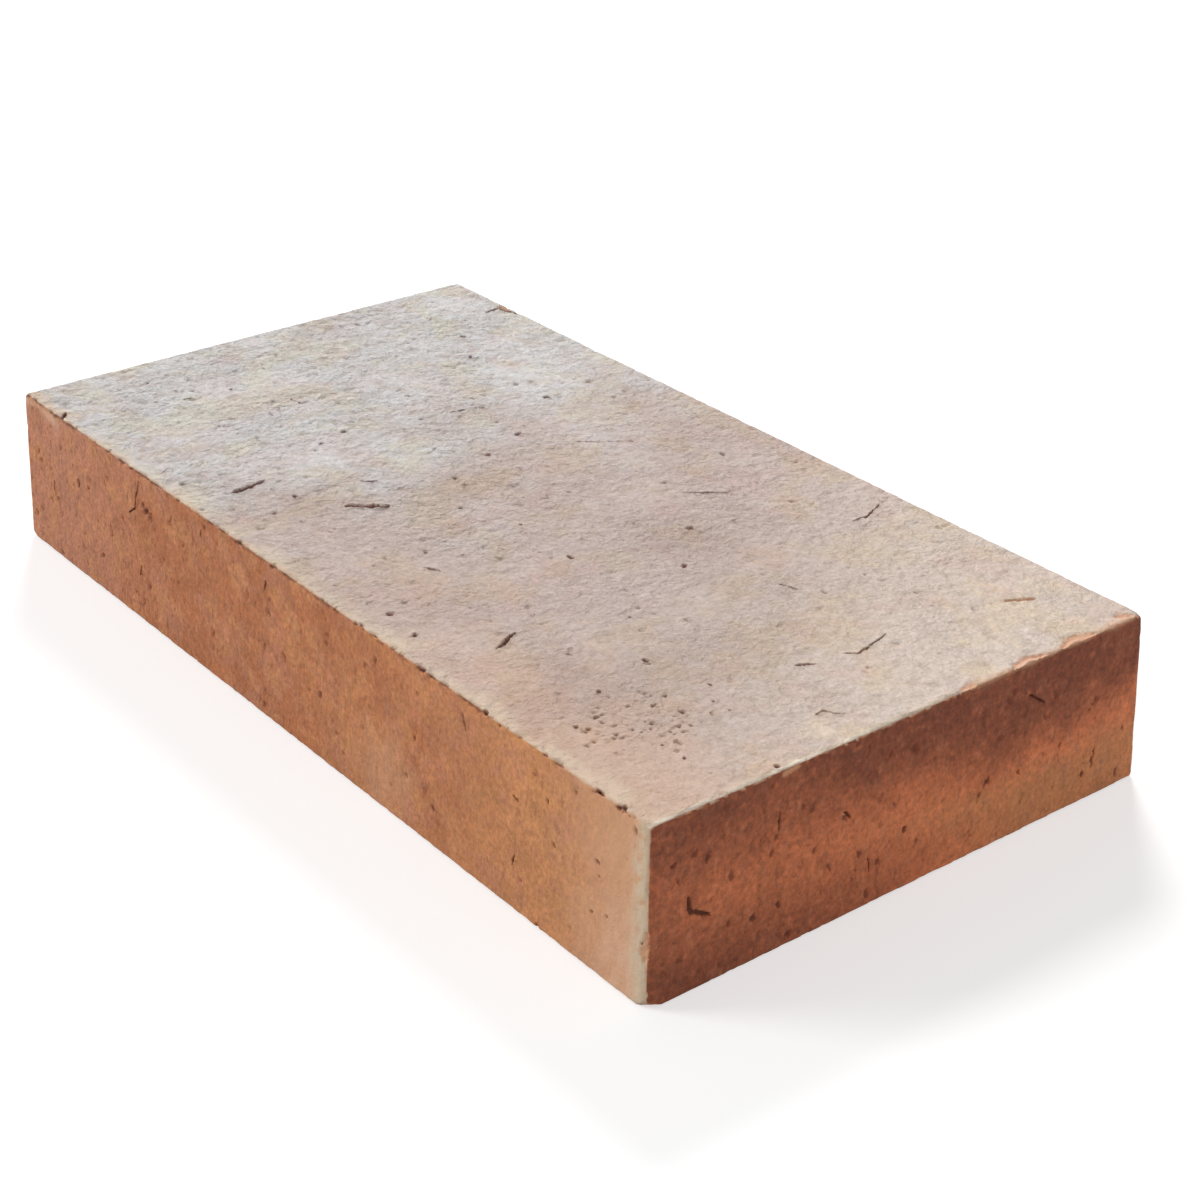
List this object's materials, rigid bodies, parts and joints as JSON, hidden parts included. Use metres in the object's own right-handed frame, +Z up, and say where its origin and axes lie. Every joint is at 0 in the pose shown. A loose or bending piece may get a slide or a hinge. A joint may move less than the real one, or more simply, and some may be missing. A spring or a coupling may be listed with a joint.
{
  "type": "clay brick",
  "caption": "Solid hand-moulded fired clay brick, a flat low block with slightly leaning sides and worn arrises, for walls, paving and garden work.",
  "frame": {"origin": "The middle of the bed face, which the brick lies on.", "axes": "+X runs along the length, +Y along the width and +Z up from the bed face to the top face."},
  "size_m": [0.26, 0.14, 0.041],
  "materials": {
    "fired_clay": "matte"
  },
  "bodies": {
    "root": {"brick": "fired_clay"}
  },
  "joints": []
}
